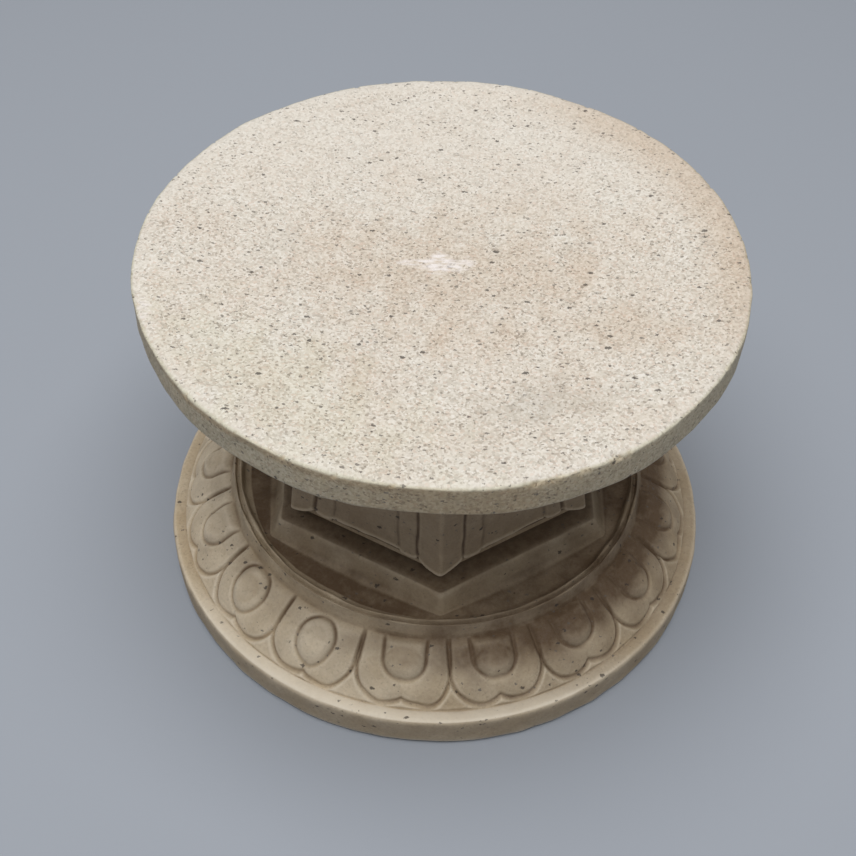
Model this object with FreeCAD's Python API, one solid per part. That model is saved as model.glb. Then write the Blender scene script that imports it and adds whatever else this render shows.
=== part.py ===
"""Round granite pedestal with a dished top, a six-sided waist and two carved lotus rings.

Three stones stand on each other: a base stone, a waist stone and an upper stone. A thin bed of
lime mortar lies in each joint, and a round steel dowel ties each joint together. The upper dowel
goes in from the top of the upper stone, and a lime plug closes its hole in the middle of the dish.

The base stone and the upper stone share one design, made by carved_stone(): a round disc, a plain
border, a ring of lotus petals on a rounded slope, a beaded collar and a six-sided step. The upper
stone is that design turned over, with a dish cut in its flat side.

Frame: millimetres, +Z up, origin at the middle of the underside. -Y is the front, and one corner
of the waist points there, turned a little towards +X.
"""

import FreeCAD, Part
import math
import os

V = FreeCAD.Vector
UP = V(0, 0, 1)
ORIGIN = V(0, 0, 0)

# ---------------------------------------------------------------- driving dimensions, millimetres
TOTAL_HEIGHT = 109.0
BASE_RADIUS = 81.5
UPPER_RADIUS = 80.0
BASE_BAND = 11.0  # height of the base stone's plain edge
UPPER_BAND = 9.5  # height of the upper stone's plain edge

# rings of a carved stone, from its edge inwards
EDGE_ROUND = 1.4  # worn edge between the band and the border
FOOT_CHAMFER = 0.8  # broken edge round each flat side
BORDER_WIDTH = 3.8
PETAL_LENGTH = 15.3  # width of the petal ring, seen from above
PETAL_SINK = 0.7  # how far the petal ring starts below the border
SLOPE_BULGE = 1.2  # how far the petal slope bulges past a straight cone
BEAD_WIDTH = 2.1
BEAD_RISE = 0.9
STEP_CORNER_GAP = 2.2  # from the collar's inside to a corner of the step
STEP_BEVEL = 3.5  # how far the step's bevel runs in at a corner
LEDGE = 2.9  # from the step's top corner in to the waist's corner

# heights of a carved stone above its band
PETAL_RISE = 12.3  # the petal ring's inner end
COLLAR_RISE = 15.3  # the collar, under its beads
FLOOR_RISE = 14.0  # the floor between the collar and the step
STEP_RISE = 20.0  # the top of the step

# lotus petals
PETAL_COUNT = 17
PETAL_START = 4.5  # degrees, first gap between petals, from the front towards +X
PETAL_GAP = 1.1  # groove between neighbours
PETAL_HEIGHT = 0.9  # relief of a petal on the slope
TONGUE_HEIGHT = 0.7  # relief of the rounded tongue on a petal
BOSS_HEIGHT = 0.5  # relief of the boss on a tongue
DART_HEIGHT = 0.5  # relief of the small leaf tip between two petals

# waist
SIDES = 6
CORNER_TURN = 2.5  # degrees, the front corner, from the front towards +X
NECK_DEPTH = 3.6  # how far the neck is cut in at a corner
NECK_HEIGHT = 1.0
NECK_FLARE = 1.6  # height in which the neck opens out to the panels
WAIST_HOLLOW = 2.0  # how far the corners draw in at mid height
PILASTER_WIDTH = 8.0  # strip on each side of a corner
PANEL_SINK = 0.5  # panels lie this far behind the pilasters
LINE_WIDTH = 1.1  # cut line between pilaster and panel
LINE_DEPTH = 1.1

# joints between the stones
BED_THICKNESS = 1.0
BED_SETBACK = 1.2  # the mortar ends this far inside the neck
DOWEL_RADIUS = 4.0
DOWEL_FIT = 0.2  # radial room round a dowel
DOWEL_END_ROOM = 1.0  # room above the lower dowel in its blind hole
BASE_DOWEL_DEPTH = 18.0  # from the ledge down into the base stone
DOWEL_WEB = 7.5  # waist stone left between its two dowel holes
PLUG_DEPTH = 4.0

# dish
DISH_DEPTH = 4.6
LIP_WIDTH = 3.0  # flat lip round the dish

# ---------------------------------------------------------------- places worked out from them
LOWER_LEDGE_Z = BASE_BAND + STEP_RISE
UPPER_LEDGE_Z = TOTAL_HEIGHT - UPPER_BAND - STEP_RISE
WAIST_BOTTOM_Z = LOWER_LEDGE_Z + BED_THICKNESS
WAIST_TOP_Z = UPPER_LEDGE_Z - BED_THICKNESS
WAIST_MIDDLE_Z = (WAIST_BOTTOM_Z + WAIST_TOP_Z) / 2
BASE_HOLE_Z = LOWER_LEDGE_Z - BASE_DOWEL_DEPTH
LOWER_HOLE_TOP_Z = WAIST_MIDDLE_Z - DOWEL_WEB / 2
UPPER_HOLE_Z = WAIST_MIDDLE_Z + DOWEL_WEB / 2
DISH_RADIUS = UPPER_RADIUS - LIP_WIDTH
DISH_FLOOR_Z = TOTAL_HEIGHT - DISH_DEPTH
HOLE_RADIUS = DOWEL_RADIUS + DOWEL_FIT
PETAL_PITCH = 360.0 / PETAL_COUNT
CUTTER_MARGIN = 1.0  # how far a cutter runs past the stone it cuts


def ring_radii(disc_radius):
    """Radii of a carved stone's rings, each from the one outside it."""
    border = disc_radius - BORDER_WIDTH
    petal_end = border - PETAL_LENGTH
    collar = petal_end - 2 * BEAD_WIDTH
    step_foot = collar - STEP_CORNER_GAP
    step_top = step_foot - STEP_BEVEL
    return {
        "border": border,
        "petal_end": petal_end,
        "collar": collar,
        "step_foot": step_foot,
        "step_top": step_top,
        "waist": step_top - LEDGE,
    }


def front_angle(degrees):
    """Angle from +X, in radians, of a direction given from the front (-Y) towards +X."""
    return math.radians(degrees - 90.0)


def polar(radius, angle, z=0.0):
    return V(radius * math.cos(angle), radius * math.sin(angle), z)


def revolve(edges):
    """Solid of revolution about Z from a closed outline in the XZ plane."""
    return Part.Face(Part.Wire(edges)).revolve(ORIGIN, UP, 360)


def lines(points):
    return [Part.LineSegment(a, b).toShape() for a, b in zip(points, points[1:])]


def arc(start, middle, end):
    return Part.Arc(start, middle, end).toShape()


def slope_arc(disc_radius, band, lift=0.0):
    """The petal slope from the border in to the collar, raised by lift, as start, middle, end."""
    radii = ring_radii(disc_radius)
    outer = V(radii["border"], 0, band - PETAL_SINK + lift)
    inner = V(radii["petal_end"], 0, band + PETAL_RISE + lift)
    along = (inner - outer).normalize()
    bulge = V(-along.z, 0, along.x) * -SLOPE_BULGE
    return outer, (outer + inner) * 0.5 + bulge, inner


def disc_body(disc_radius, band):
    """Round body of a carved stone: band, border, petal slope, beaded collar and floor."""
    radii = ring_radii(disc_radius)
    border, petal_end, collar = radii["border"], radii["petal_end"], radii["collar"]
    floor_z = band + FLOOR_RISE
    collar_z = band + COLLAR_RISE
    between = petal_end - BEAD_WIDTH
    corner = EDGE_ROUND * (1 - math.sqrt(0.5))
    outer, middle, inner = slope_arc(disc_radius, band)
    edges = lines(
        [
            V(0, 0, floor_z),
            ORIGIN,
            V(disc_radius - FOOT_CHAMFER, 0, 0),
            V(disc_radius, 0, FOOT_CHAMFER),
            V(disc_radius, 0, band - EDGE_ROUND),
        ]
    )
    edges.append(
        arc(
            V(disc_radius, 0, band - EDGE_ROUND),
            V(disc_radius - corner, 0, band - corner),
            V(disc_radius - EDGE_ROUND, 0, band),
        )
    )
    edges += lines([V(disc_radius - EDGE_ROUND, 0, band), V(border, 0, band), outer])
    edges.append(arc(outer, middle, inner))
    edges += lines([inner, V(petal_end, 0, collar_z)])
    for bead_outer, bead_inner in ((petal_end, between), (between, collar)):
        edges.append(
            arc(
                V(bead_outer, 0, collar_z),
                V((bead_outer + bead_inner) / 2, 0, collar_z + BEAD_RISE),
                V(bead_inner, 0, collar_z),
            )
        )
    edges += lines([V(collar, 0, collar_z), V(collar, 0, floor_z), V(0, 0, floor_z)])
    return revolve(edges)


def relief_shell(disc_radius, band, lift):
    """Layer of stone from just under the petal slope up to lift above it."""
    outer, middle, inner = slope_arc(disc_radius, band)
    sunk = V(0, 0, -CUTTER_MARGIN)
    raised = V(0, 0, lift)
    edges = [arc(outer + raised, middle + raised, inner + raised)]
    edges += lines([inner + raised, inner + sunk])
    edges.append(arc(inner + sunk, middle + sunk, outer + sunk))
    edges += lines([outer + sunk, outer + raised])
    return revolve(edges)


def column(face, band):
    """Upright prism on a flat outline, tall enough to pass through the petal slope."""
    return face.extrude(UP * (band + STEP_RISE))


def polygon_face(points):
    return Part.Face(Part.makePolygon(points + [points[0]]))


def ellipse_column(centre_radius, offset, radial, across, band):
    """Upright oval prism centred on the petal that lies along +X."""
    centre = V(centre_radius, offset, 0)
    long_end, short_end = (V(0, across, 0), V(radial, 0, 0))
    if radial > across:
        long_end, short_end = (V(radial, 0, 0), V(0, across, 0))
    oval = Part.Ellipse(centre + long_end, centre + short_end, centre)
    return column(Part.Face(Part.Wire(oval.toShape())), band)


def petal_outline(disc_radius, band):
    """Two rounded lobes on a body that narrows towards the collar, for the petal along +X."""
    radii = ring_radii(disc_radius)
    half_pitch = math.radians(PETAL_PITCH / 2)
    lobe_radial = PETAL_LENGTH * 0.33
    lobe_centre = radii["border"] - PETAL_LENGTH * 0.065 - lobe_radial
    half_width = lobe_centre * math.tan(half_pitch) - PETAL_GAP / 2
    root_half_width = radii["petal_end"] * math.tan(half_pitch) - PETAL_GAP / 2
    lobe_across = half_width * 0.62
    lobe_offset = half_width - lobe_across
    root = radii["petal_end"] - CUTTER_MARGIN
    body = column(
        polygon_face(
            [
                V(root, -root_half_width, 0),
                V(lobe_centre, -half_width, 0),
                V(lobe_centre, half_width, 0),
                V(root, root_half_width, 0),
            ]
        ),
        band,
    )
    lobes = [
        ellipse_column(lobe_centre, side * lobe_offset, lobe_radial, lobe_across, band)
        for side in (-1, 1)
    ]
    return body.fuse(lobes)


def tongue_outline(disc_radius, band):
    """Round-ended tongue in the middle of a petal, running in to the collar."""
    radii = ring_radii(disc_radius)
    radial = PETAL_LENGTH * 0.28
    across = PETAL_LENGTH * 0.38
    centre = radii["petal_end"] + PETAL_LENGTH * 0.37
    root = radii["petal_end"] - CUTTER_MARGIN
    body = column(
        polygon_face(
            [
                V(root, -across, 0),
                V(centre, -across, 0),
                V(centre, across, 0),
                V(root, across, 0),
            ]
        ),
        band,
    )
    return body.fuse(ellipse_column(centre, 0, radial, across, band))


def boss_outline(disc_radius, band):
    """Oval boss near the tip of a tongue."""
    centre = ring_radii(disc_radius)["petal_end"] + PETAL_LENGTH * 0.39
    return ellipse_column(centre, 0, PETAL_LENGTH * 0.17, PETAL_LENGTH * 0.23, band)


def dart_outline(disc_radius, band):
    """Small pointed leaf tip that shows in the gap beside a petal, at the border."""
    border = ring_radii(disc_radius)["border"]
    half_width = PETAL_LENGTH * 0.17
    base = border - PETAL_LENGTH * 0.03
    tip = border - PETAL_LENGTH * 0.27
    face = polygon_face([V(base, -half_width, 0), V(base, half_width, 0), V(tip, 0, 0)])
    return column(face, band)


def petal_reliefs(disc_radius, band):
    """Every raised layer of the petal ring, each repeated round the stone."""
    layers = [
        (petal_outline, PETAL_HEIGHT, 0.5),
        (tongue_outline, PETAL_HEIGHT + TONGUE_HEIGHT, 0.5),
        (boss_outline, PETAL_HEIGHT + TONGUE_HEIGHT + BOSS_HEIGHT, 0.5),
        (dart_outline, DART_HEIGHT, 0.0),
    ]
    solids = []
    for outline, lift, share_of_pitch in layers:
        one = outline(disc_radius, band).common(relief_shell(disc_radius, band, lift))
        for number in range(PETAL_COUNT):
            turned = one.copy()
            degrees = PETAL_START - 90 + (number + share_of_pitch) * PETAL_PITCH
            turned.rotate(ORIGIN, UP, degrees)
            solids.append(turned)
    return solids


def hexagon(corner_radius, z):
    corners = [
        polar(corner_radius, front_angle(CORNER_TURN + number * 360.0 / SIDES), z)
        for number in range(SIDES)
    ]
    return Part.makePolygon(corners + [corners[0]])


def step(disc_radius, band):
    """Six-sided step with bevelled sides that carries the waist."""
    radii = ring_radii(disc_radius)
    sunk = hexagon(radii["step_foot"], band + FLOOR_RISE - CUTTER_MARGIN)
    foot = hexagon(radii["step_foot"], band + FLOOR_RISE)
    top = hexagon(radii["step_top"], band + STEP_RISE)
    return Part.makeLoft([sunk, foot, top], True, True)


def carved_stone(disc_radius, band):
    """A carved stone standing on its flat side, before any hole is drilled."""
    pieces = petal_reliefs(disc_radius, band) + [step(disc_radius, band)]
    return disc_body(disc_radius, band).fuse(pieces).removeSplitter()


def turned_over(shape, height):
    """The same stone upside down, with its flat side at that height."""
    flipped = shape.mirror(ORIGIN, UP)
    flipped.translate(V(0, 0, height))
    return flipped


def dish_cutter():
    """Round-bottomed dish as a shallow cap of a large ball, cut flat above the stone."""
    ball_radius = (DISH_RADIUS**2 + DISH_DEPTH**2) / (2 * DISH_DEPTH)
    half = DISH_RADIUS / 2
    sag = ball_radius - math.sqrt(ball_radius**2 - half**2)
    top = TOTAL_HEIGHT + CUTTER_MARGIN
    edges = [
        arc(
            V(0, 0, DISH_FLOOR_Z),
            V(half, 0, DISH_FLOOR_Z + sag),
            V(DISH_RADIUS, 0, TOTAL_HEIGHT),
        )
    ]
    edges += lines(
        [
            V(DISH_RADIUS, 0, TOTAL_HEIGHT),
            V(DISH_RADIUS, 0, top),
            V(0, 0, top),
            V(0, 0, DISH_FLOOR_Z),
        ]
    )
    return revolve(edges)


def cylinder(radius, bottom, top):
    return Part.makeCylinder(radius, top - bottom, V(0, 0, bottom))


def base_stone():
    hole = cylinder(HOLE_RADIUS, BASE_HOLE_Z, LOWER_LEDGE_Z + CUTTER_MARGIN)
    return carved_stone(BASE_RADIUS, BASE_BAND).cut(hole)


def upper_stone():
    stone = turned_over(carved_stone(UPPER_RADIUS, UPPER_BAND), TOTAL_HEIGHT)
    hole = cylinder(HOLE_RADIUS, UPPER_LEDGE_Z - CUTTER_MARGIN, TOTAL_HEIGHT)
    return stone.cut([dish_cutter(), hole])


def waist_section(corner_radius, z):
    """Six-sided outline with a pilaster at each corner, a cut line beside it and a sunk panel."""
    side_length = 2 * corner_radius * math.sin(math.pi / SIDES)
    apothem = corner_radius * math.cos(math.pi / SIDES)
    half_line = LINE_WIDTH / 2
    profile = [
        (0.0, 0.0),
        (PILASTER_WIDTH - half_line, 0.0),
        (PILASTER_WIDTH, LINE_DEPTH),
        (PILASTER_WIDTH + half_line, PANEL_SINK),
    ]
    profile += [(side_length - along, depth) for along, depth in reversed(profile[1:])]
    points = []
    for number in range(SIDES):
        middle = front_angle(CORNER_TURN + (number + 0.5) * 360.0 / SIDES)
        out = polar(1, middle)
        across = polar(1, middle + math.pi / 2)
        for along, depth in profile:
            place = out * (apothem - depth) + across * (along - side_length / 2)
            points.append(place + V(0, 0, z))
    return Part.makePolygon(points + [points[0]])


def waist_stone():
    """Six-sided waist, hollowed a little at mid height, with a cut-in neck at each end."""
    lower = ring_radii(BASE_RADIUS)["waist"]
    upper = ring_radii(UPPER_RADIUS)["waist"]
    levels = [
        (lower - NECK_DEPTH, WAIST_BOTTOM_Z),
        (lower - NECK_DEPTH, WAIST_BOTTOM_Z + NECK_HEIGHT),
        (lower, WAIST_BOTTOM_Z + NECK_HEIGHT + NECK_FLARE),
        ((lower + upper) / 2 - WAIST_HOLLOW, WAIST_MIDDLE_Z),
        (upper, WAIST_TOP_Z - NECK_HEIGHT - NECK_FLARE),
        (upper - NECK_DEPTH, WAIST_TOP_Z - NECK_HEIGHT),
        (upper - NECK_DEPTH, WAIST_TOP_Z),
    ]
    body = Part.makeLoft([waist_section(radius, z) for radius, z in levels], True, True)
    lower_hole = cylinder(HOLE_RADIUS, WAIST_BOTTOM_Z - CUTTER_MARGIN, LOWER_HOLE_TOP_Z)
    upper_hole = cylinder(HOLE_RADIUS, UPPER_HOLE_Z, WAIST_TOP_Z + CUTTER_MARGIN)
    return body.cut([lower_hole, upper_hole])


def mortar_bed(neck_radius, bottom, top):
    """Thin six-sided bed of lime mortar with a hole for the dowel."""
    bed = Part.makeLoft([hexagon(neck_radius - BED_SETBACK, z) for z in (bottom, top)], True, True)
    return bed.cut(cylinder(HOLE_RADIUS, bottom - CUTTER_MARGIN, top + CUTTER_MARGIN))


def lower_bed():
    neck = ring_radii(BASE_RADIUS)["waist"] - NECK_DEPTH
    return mortar_bed(neck, LOWER_LEDGE_Z, WAIST_BOTTOM_Z)


def upper_bed():
    neck = ring_radii(UPPER_RADIUS)["waist"] - NECK_DEPTH
    return mortar_bed(neck, WAIST_TOP_Z, UPPER_LEDGE_Z)


def lower_dowel():
    return cylinder(DOWEL_RADIUS, BASE_HOLE_Z, LOWER_HOLE_TOP_Z - DOWEL_END_ROOM)


def upper_dowel():
    return cylinder(DOWEL_RADIUS, UPPER_HOLE_Z, DISH_FLOOR_Z - PLUG_DEPTH)


def centre_plug():
    """Lime plug over the upper dowel, level with the middle of the dish."""
    return cylinder(HOLE_RADIUS, DISH_FLOOR_Z - PLUG_DEPTH, DISH_FLOOR_Z)


PARTS = {
    "base_stone": base_stone,
    "lower_bed": lower_bed,
    "lower_dowel": lower_dowel,
    "waist_stone": waist_stone,
    "upper_bed": upper_bed,
    "upper_dowel": upper_dowel,
    "upper_stone": upper_stone,
    "centre_plug": centre_plug,
}


def main():
    os.makedirs("parts", exist_ok=True)
    for name, make in PARTS.items():
        shape = make()
        solids = shape.Solids
        print(
            f"{name}: {len(solids)} solid, valid {shape.isValid()}, {shape.Volume / 1000:.2f} cm3, "
            f"z {shape.BoundBox.ZMin:.2f} to {shape.BoundBox.ZMax:.2f}"
        )
        solid = solids[0] if len(solids) == 1 else Part.makeCompound(solids)
        solid.exportStep(os.path.join("parts", f"{name}.step"))


main()
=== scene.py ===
# %% [markdown]
# # A carved granite pedestal with a dished top
# Three stones stand on each other: a round base carved with lotus petals, a six-sided waist, and
# a round upper stone with a shallow dish. Lime mortar lies in the joints and steel dowels tie
# them. This lesson takes the exact CAD model of that assembly as its frame and gives every stone
# the worn, grainy surface of the real one. The frame comes first, because every later piece
# takes its place from it.

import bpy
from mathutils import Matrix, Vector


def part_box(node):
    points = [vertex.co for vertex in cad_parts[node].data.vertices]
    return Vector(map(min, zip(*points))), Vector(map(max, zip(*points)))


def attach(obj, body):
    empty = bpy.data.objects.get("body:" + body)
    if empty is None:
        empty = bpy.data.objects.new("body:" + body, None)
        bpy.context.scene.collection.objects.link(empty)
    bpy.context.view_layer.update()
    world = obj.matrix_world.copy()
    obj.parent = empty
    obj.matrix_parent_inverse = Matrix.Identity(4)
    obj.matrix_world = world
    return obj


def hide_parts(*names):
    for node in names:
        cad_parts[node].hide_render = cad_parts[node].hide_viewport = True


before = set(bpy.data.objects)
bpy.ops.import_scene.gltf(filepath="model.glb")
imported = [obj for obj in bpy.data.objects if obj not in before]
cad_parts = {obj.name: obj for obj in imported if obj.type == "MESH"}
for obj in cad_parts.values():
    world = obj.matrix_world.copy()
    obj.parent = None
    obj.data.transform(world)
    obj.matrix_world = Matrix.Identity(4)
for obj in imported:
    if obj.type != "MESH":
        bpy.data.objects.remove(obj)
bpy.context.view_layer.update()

# %% The other tools
import math

import bpy
import numpy as np
from mathutils import Matrix, Vector

MM = 0.001  # Blender works in metres, and a mason in millimetres


# %% [markdown]
# ## Measures
# The outer sizes are read from the frame, so they can't drift from the CAD model. The widths of
# the carved rings are the mason's own setting-out, given from the edge inwards. All lengths are
# in millimetres until a mesh is made.

# %% Sizes read from the frame
def node_box(name):
    """Lowest and highest corner of a CAD node, in millimetres."""
    low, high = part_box(name)
    return np.array(low) / MM, np.array(high) / MM


_, base_high = node_box("base_stone")
waist_low, waist_high = node_box("waist_stone")
upper_low, upper_high = node_box("upper_stone")
plug_low, plug_high = node_box("centre_plug")

BASE_RADIUS = base_high[0]
UPPER_RADIUS = upper_high[0]
BASE_HEIGHT = base_high[2]
UPPER_HEIGHT = upper_high[2] - upper_low[2]
TOP = upper_high[2]
HOLE_RADIUS = plug_high[0]
DISH_DEPTH = TOP - plug_high[2]
print(f"radii {BASE_RADIUS:.1f} and {UPPER_RADIUS:.1f} mm, dish {DISH_DEPTH:.1f} mm deep")

# %% The mason's setting-out
BASE_BAND, UPPER_BAND = 11.0, 9.5  # height of each stone's plain edge
FOOT_CHAMFER = 0.8  # broken edge round the foot
BORDER_WIDTH = 3.8  # flat border outside the petals
PETAL_LENGTH = 15.3  # from the border to the collar, seen from above
PETAL_SINK, PETAL_RISE = 0.7, 12.3  # the petal slope starts below the border and ends above it
SLOPE_BULGE = 1.2  # the slope swells this far past a straight cone
BEAD_WIDTH, BEAD_RISE = 2.1, 0.9  # the two beads on the collar
COLLAR_RISE, FLOOR_RISE = 15.3, 14.0  # collar and floor above the band
STEP_HEIGHT = 6.0  # six-sided step above its floor
STEP_CORNER_GAP, STEP_BEVEL, LEDGE = 2.2, 3.5, 2.9  # at a corner, from the collar inwards
LIP_WIDTH = 3.0  # flat lip round the dish
PETAL_COUNT = 17
PETAL_START = 4.5  # degrees, first gap between petals, from the front towards +X
CORNER_TURN = 2.5  # degrees, the waist's front corner, the same way
NECK_DEPTH = 3.6  # the waist is cut in this far at its foot and its head
print(f"{PETAL_COUNT} petals, {360 / PETAL_COUNT:.1f} degrees each")

# %% [markdown]
# ## Turning a profile into a stone
# A turner's template gives the stone's outline from its axis outwards and back. Here each corner
# of the template names a radius, a height, how six-sided the stone is there, and how close the
# rings of the mesh should lie. Real arrises are worn, so the outline is smoothed along its own
# length. A lathe modifier could spin the outline, but it knows nothing of petals or of a
# six-sided step, so the rings are worked out with arrays instead.


# %% A worn outline
FINE = 0.1  # mm between the points the outline is smoothed on


def worn_outline(corners, wear, closed):
    """Rings of a stone as columns: radius, height, six-sidedness and zone number.

    corners: (radius, height, six_sided, ring_spacing, zone), each starting a run to the next.
    wear: how far along the outline an arris is softened, in millimetres.
    """
    table = np.array(corners, float)
    following = np.vstack([table[1:], table[:1]]) if closed else table[1:]
    walk = []
    for here, there in zip(table, following):
        count = max(1, int(round(np.hypot(*(there[:2] - here[:2])) / FINE)))
        share = (np.arange(count) / count)[:, None]
        piece = here + (there - here) * share
        piece[:, 3:] = here[3:]
        walk.append(piece)
    walk = np.vstack(walk if closed else walk + [table[-1:]])
    reach = int(4 * wear / FINE)
    weights = np.exp(-0.5 * (np.arange(-reach, reach + 1) * FINE / wear) ** 2)
    weights /= weights.sum()
    padded = np.pad(walk[:, :3], ((reach, reach), (0, 0)), mode="wrap" if closed else "edge")
    smooth = np.stack([np.convolve(padded[:, i], weights, "valid") for i in range(3)], axis=1)
    if not closed:  # the two ends stay on the axis
        smooth[0], smooth[-1] = walk[0, :3], walk[-1, :3]
    step = np.floor(np.cumsum(FINE / walk[:, 3]))
    keep = np.flatnonzero(np.diff(step, prepend=-1.0) > 0)
    if not closed:
        keep = np.union1d(keep, [0, len(walk) - 1])
    return np.column_stack([smooth[keep], walk[keep, 4]])


# %% [markdown]
# ### Six sides
# The step and the waist are six-sided. One function says how far in the side lies at each angle,
# as a share of the corner's radius. It is averaged over a degree or so, because no stone corner
# stays knife-sharp.


# %% Angles round the stone
COLUMNS = 1440  # a quarter of a degree each, about a third of a millimetre at the edge
SIDE_ANGLE = 60  # degrees from one corner to the next
columns = np.radians(CORNER_TURN - 90 + np.arange(COLUMNS) * 360 / COLUMNS)
from_corner = np.degrees((columns - columns[0]) % math.radians(SIDE_ANGLE))
front = (np.degrees(columns) + 90 + 180) % 360 - 180  # degrees from the front, towards +X


def six_sided(worn_degrees):
    """Share of the corner radius at which a six-sided outline lies, for every column."""
    from_side = np.radians(from_corner - SIDE_ANGLE / 2)
    share = math.cos(math.radians(SIDE_ANGLE / 2)) / np.cos(from_side)
    width = int(worn_degrees * COLUMNS / 360) // 2 * 2 + 1
    padded = np.pad(share, width // 2, mode="wrap")
    return np.convolve(padded, np.ones(width) / width, "valid")


print(f"columns lie {BASE_RADIUS * 2 * math.pi / COLUMNS:.2f} mm apart at the base's edge")

# %% [markdown]
# ### Uneven by hand
# Hand-worked stone waves gently. A displacement texture could move the finished mesh, but the
# grime and the painted shade in the hollows have to know where the hollows are. So the waves are
# worked out first, as sums of a few dozen sine ripples that run in random directions. The random
# numbers are seeded, so that the stone comes out the same each time.


# %% Ripples
def ripples(points, wavelength, seed, count=28):
    """Smooth random values, mostly between -1 and 1, about one wavelength apart."""
    random = np.random.default_rng(seed)
    directions = random.normal(size=(count, 3))
    directions /= np.linalg.norm(directions, axis=1)[:, None]
    turns = 2 * math.pi / wavelength * random.uniform(0.6, 1.5, count)
    starts = random.uniform(0, 2 * math.pi, count)
    total = np.zeros(points.shape[:-1])
    for direction, turn, start in zip(directions, turns, starts):
        total += np.sin(points @ direction * turn + start)
    return total * math.sqrt(2 / count) * 0.6


def smooth_step(value, low, high):
    """0 below low, 1 above high, and a soft rise between them."""
    share = np.clip((value - low) / (high - low), 0, 1)
    return share * share * (3 - 2 * share)


def hump(value, middle, reach):
    """1 at the middle, fading to a third at reach on both sides."""
    return np.exp(-(((value - middle) / reach) ** 2))


# %% [markdown]
# ### From rings to a mesh
# The rings are joined by four-sided faces. A solid stone closes at a tiny cap on its axis at each
# end. A stone with a hole right through joins its last ring to its first. Each vertex also
# carries a few named values, such as grime with painted shade, which the stone's material reads
# later.


# %% Normals and hollows
def ring_normals(points, closed):
    """Outward unit normals of a grid of rings."""
    around = np.roll(points, -1, axis=1) - np.roll(points, 1, axis=1)
    if closed:
        along = np.roll(points, -1, axis=0) - np.roll(points, 1, axis=0)
    else:
        along = np.gradient(points, axis=0)
    normals = np.cross(around, along)
    length = np.linalg.norm(normals, axis=2, keepdims=True)
    return normals / np.maximum(length, 1e-9)


def hollows(points, normals, closed, reach=3):
    """How far each point lies below those reach rings and columns away; negative on a ridge."""
    around = np.roll(points, reach, axis=1) + np.roll(points, -reach, axis=1)
    mode = "wrap" if closed else "edge"
    padded = np.pad(points, ((reach, reach), (0, 0), (0, 0)), mode=mode)
    along = padded[: -2 * reach] + padded[2 * reach :]
    return (((around + along) / 4 - points) * normals).sum(axis=2)


# %% The mesh itself
def make_mesh(name, points, closed, values):
    """A mesh object from rings of points in millimetres, with its named values."""
    rings, count = points.shape[:2]
    index = np.arange(rings * count).reshape(rings, count)
    nearer = index if closed else index[:-1]
    farther = np.roll(index, -1, axis=0) if closed else index[1:]
    corners = [nearer, np.roll(nearer, -1, axis=1), np.roll(farther, -1, axis=1), farther]
    faces = np.stack(corners, axis=-1).reshape(-1, 4)
    ends = [] if closed else [index[0][::-1], index[-1]]
    loops = np.concatenate([faces.ravel(), *ends]).astype(np.int32)
    totals = np.array([4] * len(faces) + [len(end) for end in ends], dtype=np.int32)
    mesh = bpy.data.meshes.new(name)
    mesh.vertices.add(points.size // 3)
    mesh.vertices.foreach_set("co", (points * MM).astype(np.float32).ravel())
    mesh.loops.add(len(loops))
    mesh.loops.foreach_set("vertex_index", loops)
    mesh.polygons.add(len(totals))
    mesh.polygons.foreach_set("loop_start", (np.cumsum(totals) - totals).astype(np.int32))
    mesh.polygons.foreach_set("loop_total", totals)
    mesh.polygons.foreach_set("use_smooth", np.ones(len(totals), dtype=bool))
    for key, value in values.items():
        layer = mesh.attributes.new(key, "FLOAT", "POINT")
        spread = np.broadcast_to(value, (rings, count)).astype(np.float32)
        layer.data.foreach_set("value", spread.ravel())
    mesh.update()
    mesh.validate()
    mesh.set_sharp_from_angle(angle=math.radians(60))
    piece = bpy.data.objects.new(name, mesh)
    bpy.context.scene.collection.objects.link(piece)
    print(f"{name}: {len(mesh.vertices)} vertices, {len(mesh.polygons)} faces")
    return piece


# %% [markdown]
# ## Lotus petals
# Each petal is cut with a soft groove round two round lobes. On it lies a round-ended tongue,
# with a small boss. The mason cut each one by eye, so no two match. A petal is worked out from
# signed distances: how far inside its outline a point lies, in millimetres. A distance gives the
# groove, the puffed edge and the dome from one number, where a boolean would leave hard steps.

# %% Proportions of a petal
LOBE_HALF_LENGTH, LOBE_TIP = 0.38, 0.065  # shares of the petal's length; the tip from the border
LOBE_OFF_MIDDLE = 0.46  # shares of the petal's half width, from here
LOBE_OUTER, LOBE_INNER = 0.54, 0.79  # a lobe is flatter on the side of the petal's middle
TONGUE_MIDDLE, TONGUE_END, TONGUE_HALF_WIDTH = 0.63, 0.28, 0.375  # shares of the length again
BOSS_MIDDLE, BOSS_HALF_LENGTH, BOSS_HALF_WIDTH = 0.59, 0.2, 0.27


# %% Distances
def inside_oval(along, across, half_along, half_across):
    """Distance inside an oval's edge, negative outside."""
    scaled = np.hypot(along / half_along, across / half_across)
    return np.hypot(along, across) * (1 / np.maximum(scaled, 1e-6) - 1)


def inside_petal(along, across, half_width, root_half_width):
    """Distance inside a petal: two lobes on a body that narrows towards the collar.

    along is the distance from the border inwards, across the distance from the petal's middle.
    """
    lobe_along = PETAL_LENGTH * LOBE_HALF_LENGTH
    centre = PETAL_LENGTH * LOBE_TIP + lobe_along
    from_lobe = np.abs(across) - half_width * LOBE_OFF_MIDDLE
    lobe_across = half_width * np.where(from_lobe > 0, LOBE_OUTER, LOBE_INNER)
    lobes = inside_oval(along - centre, from_lobe, lobe_along, lobe_across)
    share = (along - centre) / (PETAL_LENGTH - centre)
    width = half_width + (root_half_width - half_width) * share
    body = np.minimum(width - np.abs(across), along - centre)
    return np.maximum(lobes, body)


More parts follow.
